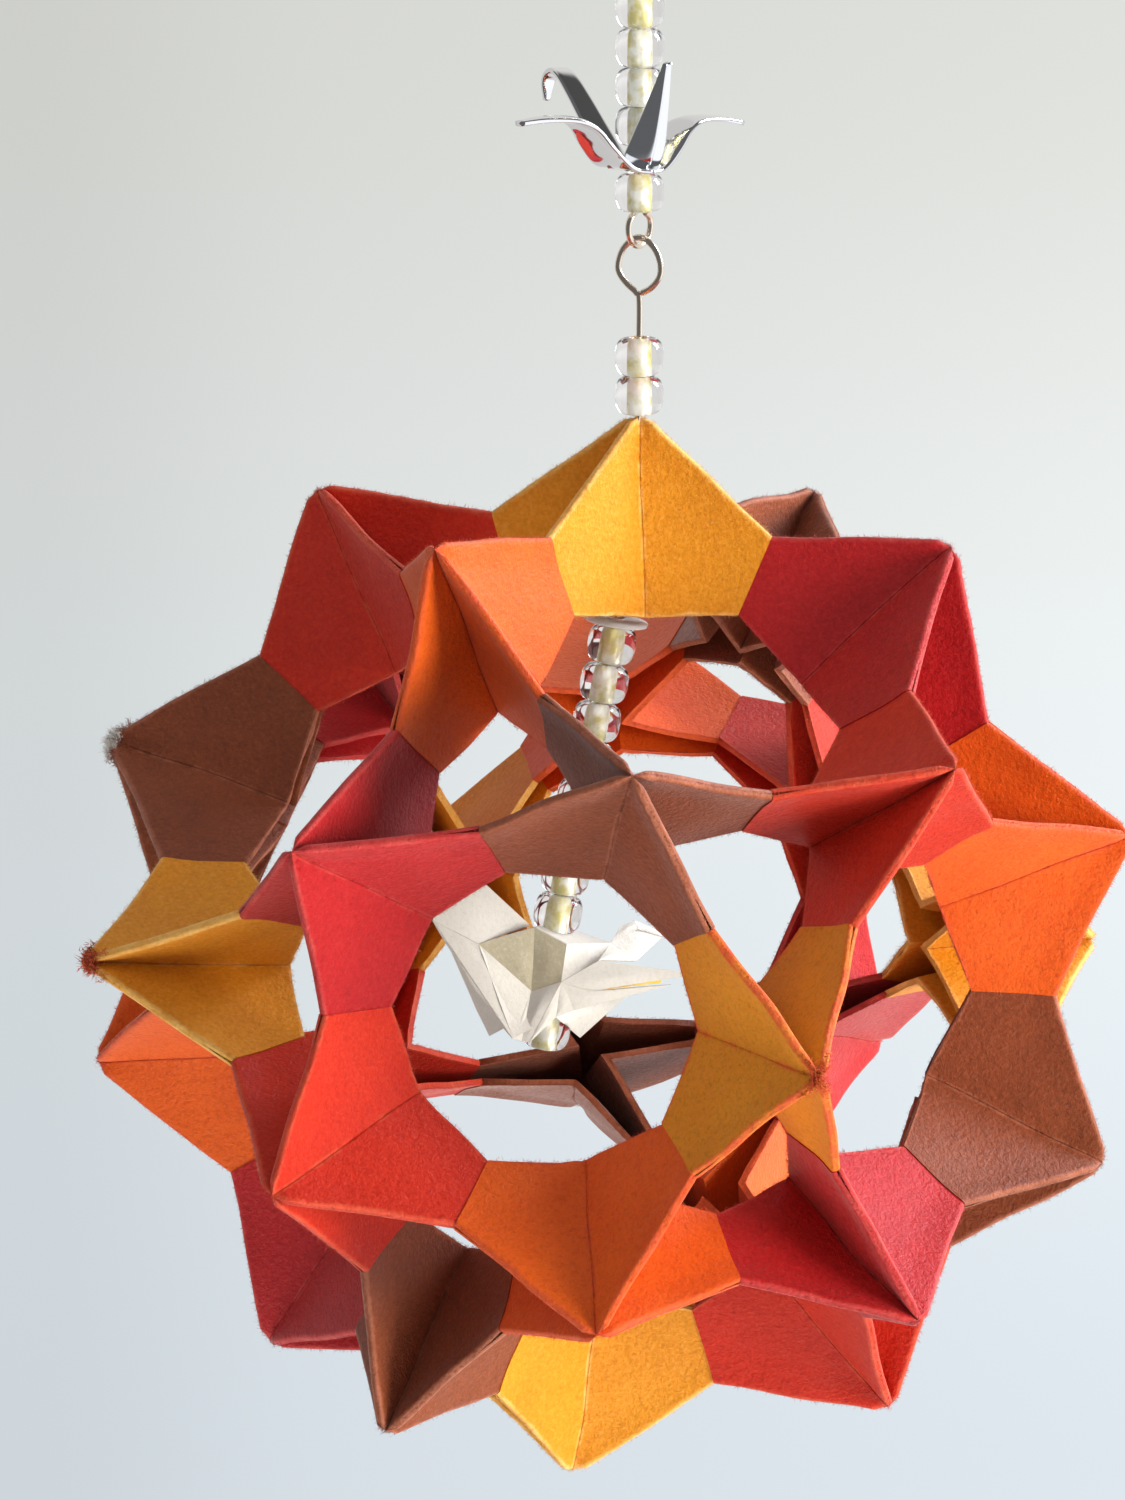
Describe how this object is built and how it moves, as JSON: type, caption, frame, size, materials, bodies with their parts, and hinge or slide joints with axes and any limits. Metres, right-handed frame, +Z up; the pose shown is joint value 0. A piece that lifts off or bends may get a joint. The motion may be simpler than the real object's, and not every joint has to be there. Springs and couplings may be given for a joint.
{
  "type": "kusudama paper ball",
  "caption": "Hanging openwork ball of folded paper squares on a beaded wire strand, with a metal crane charm above and a folded paper crane inside.",
  "frame": {"origin": "inner top of the plain hanging loop, where a hook or thread bears", "axes": "+Z up along the plumb strand, +X to the right of the front view, -Y towards the viewer"},
  "size_m": [0.0953, 0.093, 0.1506],
  "materials": {
    "yellow_paper": "handmade paper, four plies, matt",
    "crimson_paper": "handmade paper, four plies, soft sheen",
    "vermilion_paper": "handmade paper, four plies, matt",
    "brown_paper": "handmade paper, four plies, soft sheen",
    "orange_paper": "handmade paper, four plies, soft sheen",
    "pearl_paper": "pearly white paper",
    "wire": "plain steel wire",
    "charm_metal": "polished",
    "bead_glass": "clear with a silvery pale gold lining"
  },
  "bodies": {
    "hanger": {"crane_charm": "charm_metal", "hanger_wire": "wire", "upper_bead_1": "bead_glass", "upper_bead_2": "bead_glass", "upper_bead_3": "bead_glass", "upper_bead_4": "bead_glass", "upper_bead_5": "bead_glass", "upper_bead_6": "bead_glass", "upper_bead_7": "bead_glass"},
    "ball": {"brown_sheet_1": "brown_paper", "brown_sheet_2": "brown_paper", "brown_sheet_3": "brown_paper", "brown_sheet_4": "brown_paper", "brown_sheet_5": "brown_paper", "brown_sheet_6": "brown_paper", "crimson_sheet_1": "crimson_paper", "crimson_sheet_2": "crimson_paper", "crimson_sheet_3": "crimson_paper", "crimson_sheet_4": "crimson_paper", "crimson_sheet_5": "crimson_paper", "crimson_sheet_6": "crimson_paper", "end_bead": "bead_glass", "eye_pin": "wire", "inner_bead_1": "bead_glass", "inner_bead_2": "bead_glass", "inner_bead_3": "bead_glass", "inner_bead_4": "bead_glass", "inner_bead_5": "bead_glass", "inner_bead_6": "bead_glass", "inner_bead_7": "bead_glass", "inner_bead_8": "bead_glass", "neck_bead_1": "bead_glass", "neck_bead_2": "bead_glass", "orange_sheet_1": "orange_paper", "orange_sheet_2": "orange_paper", "orange_sheet_3": "orange_paper", "orange_sheet_4": "orange_paper", "orange_sheet_5": "orange_paper", "orange_sheet_6": "orange_paper", "paper_crane": "pearl_paper", "vermilion_sheet_1": "vermilion_paper", "vermilion_sheet_2": "vermilion_paper", "vermilion_sheet_3": "vermilion_paper", "vermilion_sheet_4": "vermilion_paper", "vermilion_sheet_5": "vermilion_paper", "vermilion_sheet_6": "vermilion_paper", "washer": "bead_glass", "yellow_sheet_1": "yellow_paper", "yellow_sheet_2": "yellow_paper", "yellow_sheet_3": "yellow_paper", "yellow_sheet_4": "yellow_paper", "yellow_sheet_5": "yellow_paper", "yellow_sheet_6": "yellow_paper"}
  },
  "joints": [
    {"name": "ball_swing", "type": "hinge", "parent": "hanger", "child": "ball", "pos_m": [0, 0, -0.03545], "axis": [0.4695, 0.8829, 0], "range_deg": [-60, 60]}
  ]
}
